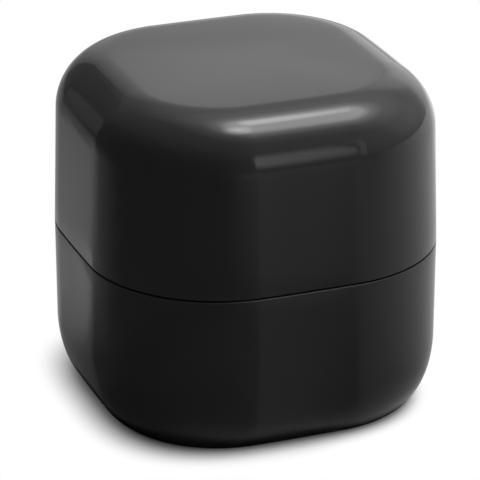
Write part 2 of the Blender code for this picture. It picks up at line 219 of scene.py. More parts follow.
# Strip light beside the camera, in its panel's own metres: a lamp that tapers to both
# ends and fades to the right, a bar, and a dim pane beyond the bar that leans away from it
PANEL_DISTANCE = 0.8
STRIP_BEARING = -69.5
STRIP_RISE = 15.3
STRIP_HALF_SIZE = (0.18, 0.3)
LAMP_ENDS = (-0.12, 0.052)
LAMP_TIP = 0.07
LAMP_BROADEST = -0.03
LAMP_HALF_HEIGHT = 0.14
LAMP_TAPER = 0.3
LAMP_BORDER = 0.19
LAMP_LEVEL = 0.88
LAMP_FADE = 3.6
BAR_EDGE = 0.008
PANE_ENDS = (0.073, 0.195)
PANE_LEAN = -0.24
PANE_EDGE = 0.02
PANE_HALF_HEIGHT = 0.18
PANE_LEVEL = 0.36

# Dark card behind and to the left, soft along its top
CARD_BEARING = 104.4
CARD_RISE = 10
CARD_HALF_SIZE = (0.147, 0.323)
CARD_FADE = 0.12
CARD_COLOUR = 0.2

# Floor, just under the foot and open inside it on the distance (|x|^n + |y|^n)^(1/n): its
# colour, and for the camera a glow that fades out by the foot, a painted contact shade, and the
# real shadow cut to a painted outline past which the floor glows white, on this distance too,
# which past the foot then runs twice as fast at the x of the lit side
FLOOR_COLOUR = 0.86
FLOOR_DROP = 0.02 * MM
FLOOR_HOLE = (13.7 * MM, 13.8 * MM)
FLOOR_GLOW = 0.16
SHADOW_POWER = 3.0
SHADOW_SHIFT = 0.8 * MM
SHADOW_REACH = 16.5 * MM
LIT_SIDE = 15.0 * MM
GLOW_ENDS = (15.5 * MM, 17.8 * MM)
SHADOW_ENDS = (16.5 * MM, 20.8 * MM)

# Floor in the gloss: a painted dark contact line that stands in for the shadow at the foot, and
# a painted rim of light past it, on such a distance that leans to the light, and the x where
# the rim of light begins and is full
CONTACT_POWER = 3.4
CONTACT_LEAN = 0.1
CONTACT_SHADE_ENDS = (16.7 * MM, 18.4 * MM)
RIM_LIGHT_ENDS = (21.0 * MM, 18.2 * MM)
RIM_LIGHT_SIDE = (-17.0 * MM, -9.0 * MM)
RIM_LIGHT_LEVEL = 0.075

# Floor as the gloss shows it, painted light of its own in place of its real shading: for each
# painted pool of light its middle on the squeezed floor, the radii of full and of no light,
# all in mm, and its level, below nought for painted shade, and near pools on the true floor
FLOOR_SQUEEZE = 80 * MM
FLOOR_SHADE = 0.073
FLOOR_POOLS = {
    "right": (87, 21, 0, 121, 1.11),
    "back_right": (36, 37, 2, 23, 0.55),
    "front": (12, -60, 0, 34, 0.315),
    "left_back": (-2, 42, 24, 37, 0.19),
    "left": (-27, 25, 7, 24, 0.12),
    # painted shadow of the object on the floor by its foot, a pool below nought
    "foot": (-4, -13, 9, 28, -0.17),
    "far_left": (-37, 68, 3, 16, 0.12),
}
NEAR_POOLS = {
    "right": (12, -14, 0, 11, 0.15),
    "front": (-12, -30, 9, 38, 0.12),
}

# Painted light with a straight border on the floor, or painted shade where the level is below
# nought, in mm and degrees: a point of the border and its bearing, where it begins and ends
# along the border, how far it fades to the left of it, or less than nought to the right, and
# its level
FLOOR_EDGES = {
    "front_left": (-5.6, -18.5, -74, 0, 150, 12, 0.085),
    "front_right": (6.8, -18.5, -66.2, 0, 150, -8, -0.075),
    "left": (-18.1, -1.8, 112.3, 19, 48, -5, 0.13),
    "left_corner": (-18.1, -1.8, 112.3, 10, 150, 14, -0.08),
}
EDGE_END = 10 * MM
EDGE_BORDER_SHARE = 0.08

# Levels
CAP_RIM = CAP_LOW.z
TOP = CAP_HIGH.z
BASE_RIM = BASE_HIGH.z
LINER_PLATE_TOP = LINER_LOW.z + PLATE
CAP_LEDGE = LINER_PLATE_TOP + FIT_GAP
NECK_TOP = COLLAR_HIGH.z
COLLAR_PLATE_TOP = BASE_RIM - (LINER_LOW.z - CAP_RIM)
COLLAR_PLATE_BOTTOM = COLLAR_PLATE_TOP - PLATE
BASE_LEDGE = COLLAR_PLATE_BOTTOM - FIT_GAP
SHOULDER_UNDER = SEAL_HIGH.z + FIT_GAP
SHOULDER_TOP = SHOULDER_UNDER + LINER_WALL
FLOOR_TOP = FOOT_RECESS + FLOOR_WALL
WEB_UNDER = COLLAR_LOW.z + PLUG_FLANGE + FIT_GAP
WEB_TOP = WEB_UNDER + WEB
SUPPORT_SEAT = NECK_TOP - SUPPORT_DEPTH

# Radii of the round pieces
SKIRT_OUTER = WIDTH / 2 - CAP_WALL - LINER_ROOM
SKIRT_INNER = SKIRT_OUTER - LINER_WALL
NECK_OUTER = SKIRT_INNER - THREAD_ROOM
NECK_INNER = NECK_OUTER - NECK_WALL
BALM_RADIUS = BALM_HIGH.x
CUP_INNER = NECK_INNER - SUPPORT_LEDGE
CUP_OUTER = CUP_INNER + CUP_WALL
FILL_RADIUS = CUP_INNER - WEB_WIDTH
SOCKET_INNER = CUP_OUTER + FIT_GAP
SOCKET_OUTER = SOCKET_INNER + SOCKET_WALL

# The ball that the balm's dome is cut from
DOME_RISE = BALM_HIGH.z - NECK_TOP
DOME_RADIUS = (BALM_RADIUS**2 + DOME_RISE**2) / (2 * DOME_RISE)
DOME_CENTRE = BALM_HIGH.z - DOME_RADIUS

# Level of the neck's first ridge where its helix crosses the +X side
THREAD_START = COLLAR_PLATE_TOP + THREAD_EDGE_ROOM + THREAD_ROOT / 2


def rounded_square():
    """Points p(s) and outward normals n(s) of the outer outline.

    A quarter is four arcs c + r n(a), each tangent to the next: the face of the bow's
    radius about (half width - bow, 0), its edge, the corner about a point on the diagonal,
    and the next face's edge.
    """
    bow = WIDTH / 2 - FACE_BOW_RADIUS
    to_edge = FACE_BOW_RADIUS - FACE_EDGE_RADIUS
    from_edge = CORNER_RADIUS - FACE_EDGE_RADIUS
    ahead = to_edge - from_edge * math.cos(FACE_EDGE_TURN)
    aside = from_edge * math.sin(FACE_EDGE_TURN)
    first = (math.acos(-bow / math.hypot(ahead, aside) / math.sqrt(2)) - QUARTER_TURN / 2
             + math.atan2(aside, ahead))
    second = first + FACE_EDGE_TURN
    edge = np.array([bow + to_edge * math.cos(first), to_edge * math.sin(first)])
    corner = edge - from_edge * np.array([math.cos(second), math.sin(second)])
    arcs = [
        ((bow, 0), FACE_BOW_RADIUS, -first, first, SIDE_STEPS),
        (edge, FACE_EDGE_RADIUS, first, second, EDGE_STEPS),
        (corner, CORNER_RADIUS, second, QUARTER_TURN - second, CORNER_STEPS),
        (edge[::-1], FACE_EDGE_RADIUS, QUARTER_TURN - second, QUARTER_TURN - first, EDGE_STEPS),
    ]
    pieces = []
    for centre, radius, start, end, steps in arcs:
        angles = np.linspace(start, end, steps, endpoint=False)
        normals = np.stack([np.cos(angles), np.sin(angles)], axis=1)
        pieces.append(np.stack([centre + radius * normals, normals]))
    quarter = np.concatenate(pieces, axis=1)
    turns = [np.array(Matrix.Rotation(QUARTER_TURN * k, 2)) for k in range(4)]
    return np.concatenate([quarter @ turn.T for turn in turns], axis=1)


POINTS, NORMALS = rounded_square()
BEARINGS = POINTS / np.linalg.norm(POINTS, axis=1, keepdims=True)


def at_level(flat, level):
    """Ring of (x, y) points set at a level."""
    return np.column_stack([flat, np.full(len(flat), level)])


def square(inset, level, edge=0.0, share=1.0):
    """One ring of a profile, share (p(s) - inset n(s)), and the round on its edge."""
    return at_level(share * (POINTS - inset * NORMALS), level), edge


def circle(radius, level, edge=0.0):
    """One ring of a profile, radius u(s) on the outline's bearings, and its edge's round."""
    return at_level(radius * BEARINGS, level), edge


def softened(profile, looped=False):
    """Rings of a profile with their edges rounded.

    A ring V with a round e becomes (1-t)^2 A + 2t(1-t) V + t^2 B for t from 0 to 1, where
    A and B lie e away from V, and at most half way, on the lines to the rings beside it.
    """
    rings = [ring for ring, edge in profile]
    made = []
    for index, (ring, edge) in enumerate(profile):
        is_end = not looped and index in (0, len(profile) - 1)
        if edge == 0 or is_end:
            made.append(ring)
            continue
        before, after = (
            ring + (other - ring) * np.minimum(
                0.5, edge / np.linalg.norm(other - ring, axis=1, keepdims=True))
            for other in (rings[index - 1], rings[(index + 1) % len(rings)]))
        for t in np.linspace(0, 1, ROUND_STEPS + 1):
            made.append((1 - t)**2 * before + 2 * t * (1 - t) * ring + t**2 * after)
    return np.stack(made)


def new_piece(name, vertices, faces):
    """Mesh object at the origin, smooth but for its sharp edges."""
    mesh = bpy.data.meshes.new(name)
    mesh.from_pydata(vertices.tolist(), [], faces)
    mesh.shade_smooth()
    mesh.set_sharp_from_angle(angle=SMOOTH_ANGLE)
    piece = bpy.data.objects.new(name, mesh)
    bpy.context.collection.objects.link(piece)
    return piece


def ring_skin(name, rings, poles=None):
    """Closed skin P(k, s) over rings of equal count, the solid on the left of the profile.

    The ends close on two poles on the axis, given by their levels, or without poles the
    last ring joins the first.
    """
    count, around = rings.shape[:2]
    here = np.arange(around)
    beyond = np.roll(here, -1)
    rows = np.arange(count - 1 if poles else count)[:, None] * around
    next_rows = (rows + around) % (count * around)
    quads = [rows + here, rows + beyond, next_rows + beyond, next_rows + here]
    faces = np.stack(quads, axis=-1).reshape(-1, 4).tolist()
    vertices = rings.reshape(-1, 3)
    if poles:
        first = np.full(around, len(vertices))
        last_row = (count - 1) * around
        faces += np.stack([first, beyond, here], axis=1).tolist()
        faces += np.stack([first + 1, last_row + here, last_row + beyond], axis=1).tolist()
        vertices = np.concatenate([vertices, [(0, 0, poles[0]), (0, 0, poles[1])]])
    return new_piece(name, vertices, faces)


def flank(height, draft, across, up, roof_crown):
    """Side of a shell as a function of the depths below its outer surface.

    The result gives (inset, rise) of the turn: a quarter ellipse from the drafted wall
    to the slope of the crowned roof.
    """
    def turn(side_depth, top_depth, steps):
        reach = across - side_depth
        climb = up - top_depth
        start = math.atan(math.tan(draft) * climb / reach)
        end = math.atan2(climb, reach * 2 * roof_crown / (WIDTH / 2 - across))
        centre_rise = height - roof_crown - top_depth - climb * math.sin(end)
        wall_top = centre_rise + climb * math.sin(start)
        centre_inset = side_depth + math.tan(draft) * wall_top + reach * math.cos(start)
        angles = np.linspace(start, end, steps + 1)
        return np.column_stack([centre_inset - reach * np.cos(angles),
                                centre_rise + climb * np.sin(angles)])
    return turn


CAP_TURN = flank(TOP - CAP_RIM, CAP_DRAFT, CAP_EDGE_RADIUS, CAP_EDGE_RADIUS, CAP_CROWN)
BASE_TURN = flank(BASE_RIM, BASE_DRAFT, BASE_EDGE_ACROSS, BASE_EDGE_UP, 0)


def wall(low, high, steps):
    """(inset, rise) pairs on the straight line between two such pairs, ends left out."""
    shares = np.linspace(0, 1, steps + 1)[1:-1, None]
    return np.array(low) + shares * (np.array(high) - np.array(low))


def rim_turn():
    """(inset, rise) round the outer edge of a rim, from underneath to the wall."""
    angles = np.linspace(0, QUARTER_TURN, RIM_STEPS + 1)
    return RIM_ROUND * np.column_stack([1 - np.sin(angles), 1 - np.cos(angles)])


def crown(inset, top):
    """Rings of the roof, z = top - crown share^2, from its edge towards the middle."""
    shares = np.linspace(1, 0, CROWN_STEPS, endpoint=False)[1:]
    return [square(inset, top - CAP_CROWN * share**2, share=share) for share in shares]


def cap_shell_moulding():
    """Cap: crowned roof, big rolled edge, drafted wall, rebated rim."""
    outer = CAP_TURN(0, 0, FILLET_STEPS)
    inner = CAP_TURN(CAP_WALL, CAP_ROOF, INNER_FILLET_STEPS)
    lean = math.tan(CAP_DRAFT)
    side = wall(rim_turn()[-1], outer[0], WALL_STEPS)
    profile = crown(inner[-1][0], TOP - CAP_ROOF)[::-1]
    profile += [square(inset, CAP_RIM + rise) for inset, rise in inner[::-1]]
    profile.append(square(CAP_WALL + lean * (CAP_LEDGE - CAP_RIM), CAP_LEDGE, EDGE))
    profile.append(square(LIP_WALL, CAP_LEDGE, EDGE))
    profile.append(square(LIP_WALL, CAP_RIM, EDGE))
    for stretch in (rim_turn(), side, outer):
        profile += [square(inset, CAP_RIM + rise) for inset, rise in stretch]
    profile += crown(outer[-1][0], TOP)
    return ring_skin("cap_shell_moulding", softened(profile), (TOP - CAP_ROOF, TOP))


def base_shell_moulding():
    """Base: recessed foot, rolled edge, nearly upright wall, rebated rim, flat floor."""
    outer = BASE_TURN(0, 0, FILLET_STEPS)
    inner = BASE_TURN(BASE_WALL, FLOOR_TOP, INNER_FILLET_STEPS)
    foot_inset = outer[-1][0] + FOOT_WIDTH
    ledge_inset = BASE_WALL + math.tan(BASE_DRAFT) * (BASE_RIM - BASE_LEDGE)
    side = wall(rim_turn()[-1], outer[0], WALL_STEPS)
    profile = [square(foot_inset, FOOT_RECESS, EDGE), square(foot_inset, 0, EDGE)]
    for stretch in (outer, side, rim_turn()):
        profile += [square(inset, BASE_RIM - rise) for inset, rise in stretch[::-1]]
    profile.append(square(LIP_WALL, BASE_RIM, EDGE))
    profile.append(square(LIP_WALL, BASE_LEDGE, EDGE))
    profile.append(square(ledge_inset, BASE_LEDGE, EDGE))
    profile += [square(inset, BASE_RIM - rise) for inset, rise in inner]
    return ring_skin("base_shell_moulding", softened(profile), (FOOT_RECESS, FLOOR_TOP))


def swept(name, solids):
    """Closed solids in one mesh, each a section carried along a path, P(k, m).

    A section runs counter-clockwise for someone who looks along the path.
    """
    vertices = []
    faces = []
    placed = 0
    for sections in solids:
        count, corners = sections.shape[:2]
        here = np.arange(corners) + placed
        beyond = np.roll(here, -1)
        steps = np.arange(count - 1)[:, None] * corners
        quads = [steps + here, steps + corners + here, steps + corners + beyond, steps + beyond]
        faces += np.stack(quads, axis=-1).reshape(-1, 4).tolist()
        faces.append(here.tolist())
        faces.append((here[::-1] + (count - 1) * corners).tolist())
        vertices.append(sections.reshape(-1, 3))
        placed += count * corners
    return new_piece(name, np.concatenate(vertices), faces)


def blade(outline, bearing):
    """Flat rib: a (radius, z) outline on both sides of the plane at a bearing."""
    radius, level = np.array(outline).T
    across = np.array([[-RIB / 2], [RIB / 2]])
    cos, sin = math.cos(bearing), math.sin(bearing)
    x = radius * cos - across * sin
    y = radius * sin + across * cos
    return np.stack([x, y, np.broadcast_to(level, x.shape)], axis=-1)


def bearing_and_reach(index):
    """Bearing of a rib and the outline's distance from the axis there."""
    on_corner = index % 2
    reach = np.linalg.norm(POINTS, axis=1).max() if on_corner else WIDTH / 2
    return 2 * math.pi * index / RIBS, reach


def cap_ribs():
    """Eight ribs inside the cap, from the wall to just short of the liner's skirt."""
    depth, rise = CAP_TURN(CAP_WALL / 2, CAP_ROOF / 2, 1)[0]
    low = CAP_LEDGE + RIB_DROP
    near = SKIRT_OUTER + FIT_GAP
    ribs = []
    for index in range(RIBS):
        bearing, reach = bearing_and_reach(index)
        low_wall = reach - CAP_WALL / 2 - math.tan(CAP_DRAFT) * (low - CAP_RIM)
        ribs.append(blade([(near, low), (low_wall, low), (reach - depth, CAP_RIM + rise),
                           (near, CAP_RIM + rise)], bearing))
    return swept("cap_shell_ribs", ribs)


def base_gussets():
    """Eight gussets between the socket ring, the floor and the wall of the base."""
    floor = FLOOR_TOP - FLOOR_WALL / 2
    socket_top = FLOOR_TOP + SOCKET_HEIGHT
    near = SOCKET_OUTER - SOCKET_WALL / 2
    wall_top = socket_top + GUSSET_RISE
    turn = BASE_TURN(BASE_WALL / 2, floor, INNER_FILLET_STEPS)[::-1]
    below = turn[BASE_RIM - turn[:, 1] < wall_top]
    gussets = []
    for index in range(RIBS):
        bearing, reach = bearing_and_reach(index)
        curve = [(reach - inset, BASE_RIM - rise) for inset, rise in below]
        top = reach - BASE_WALL / 2 - math.tan(BASE_DRAFT) * (BASE_RIM - wall_top)
        outline = [(near, floor), *curve, (top, wall_top), (near, socket_top - RIB_DROP)]
        gussets.append(blade(outline, bearing))
    return swept("base_shell_gussets", gussets)


def base_socket():
    """Ring on the floor of the base that holds the foot of the collar."""
    low = FLOOR_TOP - FLOOR_WALL / 2
    high = FLOOR_TOP + SOCKET_HEIGHT
    profile = [circle(SOCKET_INNER, low, EDGE), circle(SOCKET_OUTER, low, EDGE),
               circle(SOCKET_OUTER, high, EDGE), circle(SOCKET_INNER, high, EDGE)]
    return ring_skin("base_shell_socket", softened(profile, looped=True))


def dome(radius, low):
    """Circles up a ball about the dome's centre, from a level to just short of its top."""
    start = math.asin((low - DOME_CENTRE) / radius)
    angles = np.linspace(start, QUARTER_TURN, DOME_STEPS, endpoint=False)
    return [circle(radius * math.cos(a), DOME_CENTRE + radius * math.sin(a)) for a in angles]


def cap_liner_moulding():
    """Inner cap: square plate, round skirt for the thread, seat of the seal, dome."""
    plate_inset = LIP_WALL + FIT_GAP
    seat = SEAL_HIGH.x + FIT_GAP
    cavity = DOME_RADIUS + BALM_ROOM
    profile = dome(cavity, SHOULDER_UNDER)[::-1]
    profile += [
        circle(seat, SHOULDER_UNDER, EDGE),
        circle(seat, SEAL_LOW.z, EDGE),
        circle(SKIRT_INNER, SEAL_LOW.z, EDGE),
        circle(SKIRT_INNER, LINER_LOW.z, MOUTH_EDGE),
        square(plate_inset, LINER_LOW.z, EDGE),
        square(plate_inset, LINER_PLATE_TOP, EDGE),
        circle(SKIRT_OUTER, LINER_PLATE_TOP, EDGE),
        circle(SKIRT_OUTER, SHOULDER_TOP, MOUTH_EDGE),
    ]
    profile += dome(cavity + LINER_WALL, SHOULDER_TOP)
    return ring_skin("cap_liner_moulding", softened(profile),
                     (DOME_CENTRE + cavity, DOME_CENTRE + cavity + LINER_WALL))


def collar_moulding():
    """Neck, square plate and cup in one moulding, open at the filling hole."""
    plate_inset = LIP_WALL + FIT_GAP
    profile = [
        circle(NECK_INNER, NECK_TOP, EDGE),
        circle(NECK_INNER, SUPPORT_SEAT, EDGE),
        circle(CUP_INNER, SUPPORT_SEAT, EDGE),
        circle(CUP_INNER, WEB_TOP, EDGE),
        circle(FILL_RADIUS, WEB_TOP, EDGE),
        circle(FILL_RADIUS, WEB_UNDER, EDGE),
        circle(CUP_INNER, WEB_UNDER, EDGE),
        circle(CUP_INNER, COLLAR_LOW.z, EDGE),
        circle(CUP_OUTER, COLLAR_LOW.z, MOUTH_EDGE),
        circle(CUP_OUTER, COLLAR_PLATE_BOTTOM, EDGE),
        square(plate_inset, COLLAR_PLATE_BOTTOM, EDGE),
        square(plate_inset, COLLAR_PLATE_TOP, EDGE),
        circle(NECK_OUTER, COLLAR_PLATE_TOP, EDGE),
        circle(NECK_OUTER, NECK_TOP, MOUTH_EDGE),
    ]
    return ring_skin("collar_moulding", softened(profile, looped=True))


def seal_foam():
    """Flat soft ring between the neck and the liner."""
    profile = [circle(NECK_INNER + FIT_GAP, SEAL_LOW.z, EDGE), circle(SEAL_HIGH.x, SEAL_LOW.z, EDGE),
               circle(SEAL_HIGH.x, SEAL_HIGH.z, EDGE), circle(NECK_INNER + FIT_GAP, SEAL_HIGH.z, EDGE)]
    return ring_skin("seal_foam", softened(profile, looped=True))


def balm_dome():
    """Balm as cast: fills the cup and ends in a dome over the neck."""
    step_level = SUPPORT_SEAT + FIT_GAP + SUPPORT_SKIN / 2
    lower = CUP_INNER - FIT_GAP
    profile = [circle(lower / 2, BALM_LOW.z), circle(lower, BALM_LOW.z, BALM_EDGE),
               circle(lower, step_level, EDGE), circle(BALM_RADIUS, step_level, EDGE)]
    profile += dome(DOME_RADIUS, NECK_TOP)
    return ring_skin("balm_dome", softened(profile), (BALM_LOW.z, BALM_HIGH.z))


def smooth(share):
    """Smooth step 3t^2 - 2t^3 of a share held between 0 and 1."""
    held = np.clip(share, 0, 1)
    return held * held * (3 - 2 * held)


def thread(name, radius, outwards, low, high, start_level):
    """Screw ridges on a round wall, z = start level + lead angle / 2 pi, one for each start.

    Across its width w the ridge stands height smooth((root/2 - |w|) / flank) proud of the
    wall, and both ends run out into it.
    """
    level = np.array([low + THREAD_EDGE_ROOM + THREAD_ROOT / 2,
                      high - THREAD_EDGE_ROOM - THREAD_ROOT / 2])
    turns = (level - start_level) / LEAD
    width = np.linspace(-0.5, 0.5, THREAD_WIDTH_STEPS) * THREAD_ROOT
    flank_width = (THREAD_ROOT - THREAD_CREST) / 2
    proud = THREAD_HEIGHT * smooth((THREAD_ROOT / 2 - np.abs(width)) / flank_width)
    width = np.concatenate([width, [THREAD_ROOT / 2, -THREAD_ROOT / 2]])
    proud = np.concatenate([proud, [-THREAD_BURIED, -THREAD_BURIED]])
    angle = np.linspace(*(2 * math.pi * turns), THREAD_STEPS)[:, None]
    from_end = np.minimum(angle - angle[0], angle[-1] - angle)
    share = smooth(THREAD_END_SHARE + from_end / THREAD_RUN_OUT)
    reach = radius + outwards * (share * (proud + THREAD_BURIED) - THREAD_BURIED)
    rise = start_level + LEAD * angle / (2 * math.pi) + width
    ridges = []
    for start in range(STARTS):
        turned = angle + 2 * math.pi * start / STARTS
        ridge = np.stack([reach * np.cos(turned), reach * np.sin(turned), rise], axis=-1)
        ridges.append(ridge if outwards > 0 else ridge[:, ::-1])
    return swept(name, ridges)


class Signal:
    """An output of a shader node.

    Sums, differences, products and the absolute value add Math nodes.
    """

    def __init__(self, tree, socket):
        self.tree = tree
        self.socket = socket

    @classmethod
    def node(cls, tree, kind, settings=None, inputs=None, output=0):
        """Adds a node: its settings first, then the value or the link of each input."""
        made = tree.nodes.new(kind)
        for name, value in (settings or {}).items():
            setattr(made, name, value)
        for name, value in (inputs or {}).items():
            if isinstance(value, cls):
                tree.links.new(value.socket, made.inputs[name])
            else:
                made.inputs[name].default_value = value
        return cls(tree, made.outputs[output])

    def __add__(self, other):
        return maths("ADD", self, other)

    def __radd__(self, other):
        return maths("ADD", other, self)

    def __sub__(self, other):
        return maths("SUBTRACT", self, other)

    def __rsub__(self, other):
        return maths("SUBTRACT", other, self)

    def __mul__(self, other):
        return maths("MULTIPLY", self, other)

    def __rmul__(self, other):
        return maths("MULTIPLY", other, self)

    def __abs__(self):
        return maths("ABSOLUTE", self, 0)


def maths(operation, first, second):
    """Math node on two values, at least one of them a signal."""
    tree = first.tree if isinstance(first, Signal) else second.tree
    return Signal.node(tree, "ShaderNodeMath", {"operation": operation}, {0: first, 1: second})


def vector_maths(operation, first, second, output="Vector"):
    """Vector Math node on a signal and a signal, a vector or, for a scale, a number."""
    slot = "Scale" if operation == "SCALE" else 1
    return Signal.node(first.tree, "ShaderNodeVectorMath", {"operation": operation},
                       {0: first, slot: second}, output)


def empty_material(name):
    """Material with its output node alone, and its tree."""
    material = bpy.data.materials.new(name)
    material.use_nodes = True
    tree = material.node_tree
    tree.nodes.remove(tree.nodes["Principled BSDF"])
    return material, tree


def shown(material, tree, shader):
    """Shader on the material's output."""
    tree.links.new(shader.socket, tree.nodes["Material Output"].inputs["Surface"])
    return material


def own_place(tree):
    """The piece's own coordinates."""
    return Signal.node(tree, "ShaderNodeTexCoord", output="Object")


def noise(tree, wavelength, detail):
    """Noise on the piece's own coordinates, one swell to about a wavelength."""
    return Signal.node(tree, "ShaderNodeTexNoise", None,
                       {"Vector": own_place(tree), "Scale": 1 / wavelength, "Detail": detail})


def drifting(share, low, high):
    """Value that drifts from low to high as the share goes from 0 to 1."""
    return low + (high - low) * share


def blend(tree, share, low, high):
    """Colour between two colours."""
    return Signal.node(tree, "ShaderNodeMix", {"data_type": "RGBA"},
                       {"Factor": share, 6: (*low, 1), 7: (*high, 1)}, output=2)


def bumped(tree, height, depth):
    """Normal of a surface with a height of 0 to 1 times a depth."""
    return Signal.node(tree, "ShaderNodeBump", None,
                       {"Strength": 1.0, "Distance": depth, "Height": height}, output="Normal")


def surfaced(material, tree, inputs):
    """Principled surface on the material's output."""
    return shown(material, tree, Signal.node(tree, "ShaderNodeBsdfPrincipled", None, inputs))


def gloss_black():
    """Polished black moulding: deep base, faint orange peel, roughness that drifts a little."""
    material, tree = empty_material("gloss_black_moulding")
    drift = noise(tree, GLOSS_DRIFT, 2)
    peel = noise(tree, ORANGE_PEEL, 1)
    return surfaced(material, tree, {
        "Base Color": blend(tree, drift, *GLOSS_BLACKS),
        "Roughness": drifting(drift, *GLOSS_ROUGHNESS),
        "Normal": bumped(tree, peel, ORANGE_PEEL_DEPTH),
        "IOR": MOULDING_IOR,
    })


def satin_black():
    """Inner mouldings: black, fine spark-eroded grain."""
    material, tree = empty_material("satin_black_moulding")
    grain = noise(tree, SPARK_GRAIN, 3)
    drift = noise(tree, SATIN_DRIFT, 2)
    return surfaced(material, tree, {
        "Base Color": blend(tree, drift, *SATIN_BLACKS),
        "Roughness": drifting(grain, *SATIN_ROUGHNESS),
        "Normal": bumped(tree, grain, SPARK_GRAIN_DEPTH),
        "IOR": MOULDING_IOR,
    })


def balm_wax():
    """Cast balm: warm cream, soft shine, fine bloom."""
    material, tree = empty_material("balm_wax")
    bloom = noise(tree, WAX_BLOOM, 4)
    cloud = noise(tree, WAX_CLOUD, 3)
    return surfaced(material, tree, {
        "Base Color": blend(tree, cloud, *WAX_CREAMS),
        "Roughness": drifting(bloom, *WAX_ROUGHNESS),
        "Normal": bumped(tree, bloom + cloud, WAX_DEPTH),
        "Subsurface Weight": WAX_GLOW_SHARE,
        "Subsurface Scale": WAX_GLOW_REACH,
        "IOR": WAX_IOR,
    })


def white_foam():
    """Seal: closed-cell foam, dull, with fine cells."""
    material, tree = empty_material("white_seal_foam")
    cells = Signal.node(tree, "ShaderNodeTexVoronoi", None,
                        {"Vector": own_place(tree), "Scale": 1 / FOAM_CELL}, output="Distance")
    return surfaced(material, tree, {
        "Base Color": blend(tree, cells, *FOAM_WHITES),
        "Roughness": drifting(cells, *FOAM_ROUGHNESS),
        "Normal": bumped(tree, cells, FOAM_CELL_DEPTH),
    })


def natural_moulding():
    """Support and plug: uncoloured moulding, milky."""
    material, tree = empty_material("natural_moulding")
    drift = noise(tree, MILKY_DRIFT, 2)
    return surfaced(material, tree, {
        "Base Color": blend(tree, drift, *MILKY_WHITES),
        "Roughness": drifting(drift, *MILKY_ROUGHNESS),
        "Normal": bumped(tree, drift, MILKY_DEPTH),
    })


def dress(piece, body, node, material):
    """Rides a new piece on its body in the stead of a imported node."""
    piece.data.materials.append(material)
    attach(piece, body)
    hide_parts(node)


def dress_pieces():
    """Fine surfaces in the stead of six nodes, and a finish on the other two."""
    gloss = gloss_black()
    satin = satin_black()
    for piece in (cap_shell_moulding(), cap_ribs()):
        dress(piece, "cap", "cap_shell", gloss)
    for piece in (base_shell_moulding(), base_socket(), base_gussets()):
        dress(piece, "base", "base_shell", gloss)
    male = thread("collar_thread", NECK_OUTER, 1, COLLAR_PLATE_TOP, NECK_TOP, THREAD_START)
    female = thread("cap_liner_thread", SKIRT_INNER, -1, LINER_LOW.z, SEAL_LOW.z,
                    THREAD_START - LEAD / STARTS / 2)
    for piece in (cap_liner_moulding(), female):
        dress(piece, "cap", "cap_liner", satin)
    for piece in (collar_moulding(), male):
        dress(piece, "base", "threaded_collar", satin)
    dress(seal_foam(), "cap_seal", "cap_seal_ring", white_foam())
    dress(balm_dome(), "base", "balm", balm_wax())
    milky = natural_moulding()
    for node in ("balm_support", "filling_plug"):
        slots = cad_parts[node].data.materials
        slots.clear()
        slots.append(milky)


def photo_camera():
    """Camera that looks at the seam's middle, moved a little across its own view."""
    sin_a, cos_a = math.sin(CAMERA_AZIMUTH), math.cos(CAMERA_AZIMUTH)
    sin_e, cos_e = math.sin(CAMERA_ELEVATION), math.cos(CAMERA_ELEVATION)
    back = Vector((sin_a * cos_e, -cos_a * cos_e, sin_e))
    right = Vector((cos_a, sin_a, 0))
    up = back.cross(right)
    aim = Vector((0, 0, BASE_RIM)) + AIM_RIGHT * right + AIM_UP * up
    data = bpy.data.cameras.new("photo_camera")
    data.lens = CAMERA_LENS
    data.sensor_width = CAMERA_SENSOR
    data.clip_start = CAMERA_DISTANCE * NEAREST_SHARE
    data.clip_end = CAMERA_DISTANCE * FARTHEST_SHARE
    camera = bpy.data.objects.new("photo_camera", data)
    camera.matrix_world = Matrix.LocRotScale(
        aim + CAMERA_DISTANCE * back, Matrix((right, up, back)).transposed().to_quaternion(), None)
    bpy.context.collection.objects.link(camera)
    bpy.context.scene.camera = camera


def split(vector):
    """x and y of a vector."""
    return [Signal.node(vector.tree, "ShaderNodeSeparateXYZ", None, {0: vector}, axis)
            for axis in "XY"]


def ramp(value, low, high):
    """Smooth step from 0 at low to 1 at high."""
    return Signal.node(value.tree, "ShaderNodeMapRange", {"interpolation_type": "SMOOTHSTEP"},
                       {"Value": value, "From Min": low, "From Max": high}, "Result")


def matt(tree, level):
    """Matt surface of a grey level."""
    return Signal.node(tree, "ShaderNodeBsdfDiffuse", None, {"Color": (level, level, level, 1)})


def clear(tree):
    """Nothing there."""
    return Signal.node(tree, "ShaderNodeBsdfTransparent")


def glow(level):
    """Light of its own at a level."""
    return Signal.node(level.tree, "ShaderNodeEmission", None, {"Color": level})


def seen_by(tree, *kinds):
    """One for rays of the kinds, else nought."""
    path = tree.nodes.new("ShaderNodeLightPath")
    flags = [Signal(tree, path.outputs["Is " + kind + " Ray"]) for kind in kinds]
    total = flags[0]
    for flag in flags[1:]:
        total = maths("MAXIMUM", total, flag)
    return total


def towards(bearing, rise):
    """Direction at a bearing from +X and a height above the horizon, in degrees."""
    bearing, rise = math.radians(bearing), math.radians(rise)
    return Vector((math.cos(bearing) * math.cos(rise), math.sin(bearing) * math.cos(rise),
                   math.sin(rise)))


def lit_by(tree, lights, level):
    """Level of light from each place's direction: every light adds its own ramp."""
    direction = vector_maths("NORMALIZE", own_place(tree), (0, 0, 0))
    for bearing, rise, inner, outer, strength in lights.values():
        cosine = vector_maths("DOT_PRODUCT", direction, towards(bearing, rise), "Value")
        level = level + strength * ramp(cosine, math.cos(math.radians(outer)),
                                        math.cos(math.radians(inner)))
    return level


